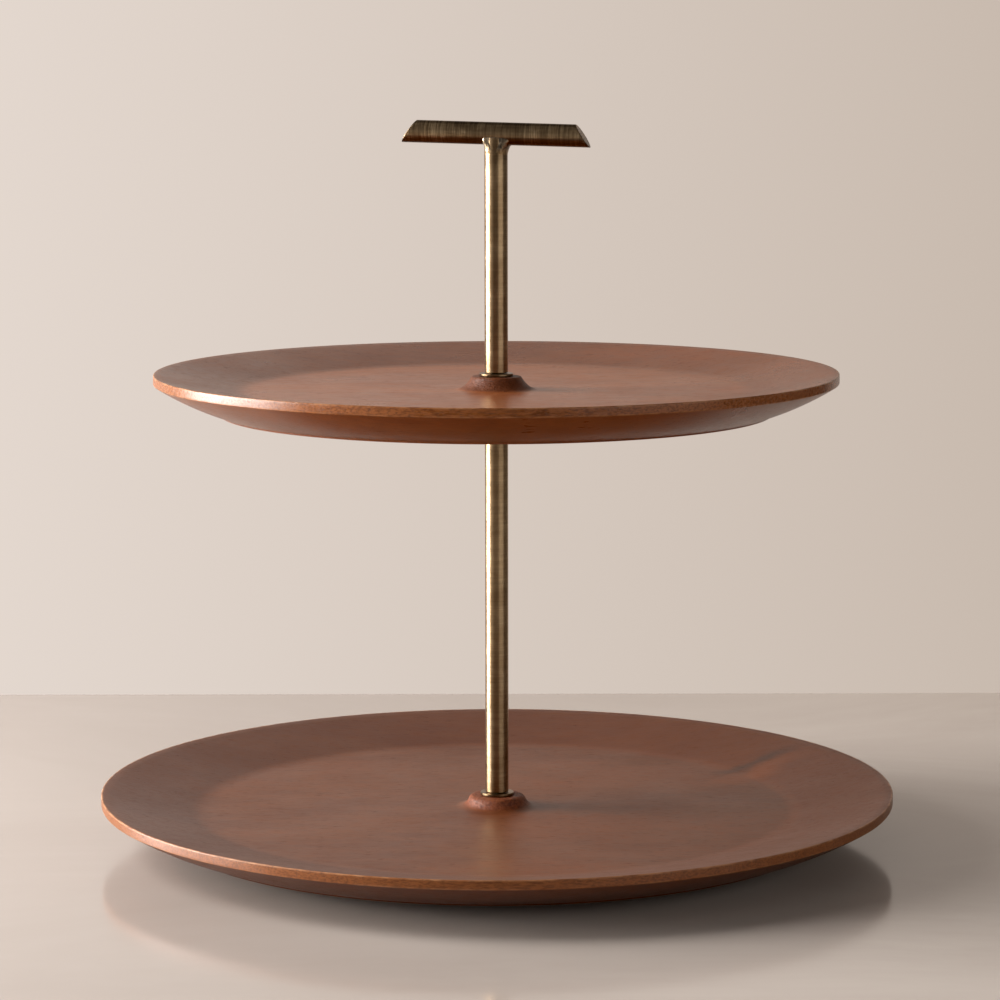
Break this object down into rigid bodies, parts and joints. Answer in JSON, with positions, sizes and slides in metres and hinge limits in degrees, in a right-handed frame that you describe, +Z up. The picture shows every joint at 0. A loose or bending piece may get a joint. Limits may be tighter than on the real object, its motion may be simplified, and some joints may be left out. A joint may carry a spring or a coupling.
{
  "type": "tiered cake stand",
  "caption": "Tiered serving stand: turned wooden plates with shallow sloping rims on a slim brass rod, carried by a mitre-ended T-handle.",
  "frame": {"origin": "on the table, under the axis of the rod", "axes": "+Z up along the rod, X along the handle bar, the front faces -Y"},
  "size_m": [0.3556, 0.3556, 0.3229],
  "materials": {
    "turned_wood": "satin oiled, red-brown",
    "aged_brass": "antiqued, finely brushed",
    "steel_fastener": "plain bright",
    "zinc_screw": "zinc plated",
    "foot_rubber": "matt black"
  },
  "bodies": {
    "stand": {"lower_plate": "turned_wood", "upper_plate": "turned_wood", "lower_rod": "aged_brass", "lower_flange_washer": "aged_brass", "under_plate_washer": "aged_brass", "middle_stud": "steel_fastener", "base_screw": "steel_fastener", "base_washer": "steel_fastener", "foot_back_right": "foot_rubber", "foot_back_left": "foot_rubber", "foot_front_left": "foot_rubber", "foot_front_right": "foot_rubber", "foot_screw_back_right": "zinc_screw", "foot_screw_back_left": "zinc_screw", "foot_screw_front_left": "zinc_screw", "foot_screw_front_right": "zinc_screw"},
    "handle_washer": {"upper_flange_washer": "aged_brass"},
    "handle": {"upper_rod": "aged_brass", "handle_braze": "aged_brass", "handle_bar": "aged_brass"}
  },
  "joints": [
    {"name": "handle_turn", "type": "hinge", "parent": "stand", "child": "handle_washer", "pos_m": [0, 0, 0.2106], "axis": [0, 0, 1], "range_deg": [0, 4320]},
    {"name": "handle_rise", "type": "slide", "parent": "handle_washer", "child": "handle", "axis": [0, 0, 1], "range_m": [0, 0.012]}
  ],
  "couplings": [
    {"joint": "handle_rise", "follows": "handle_turn", "m_per_rad": 0.00015915}
  ]
}
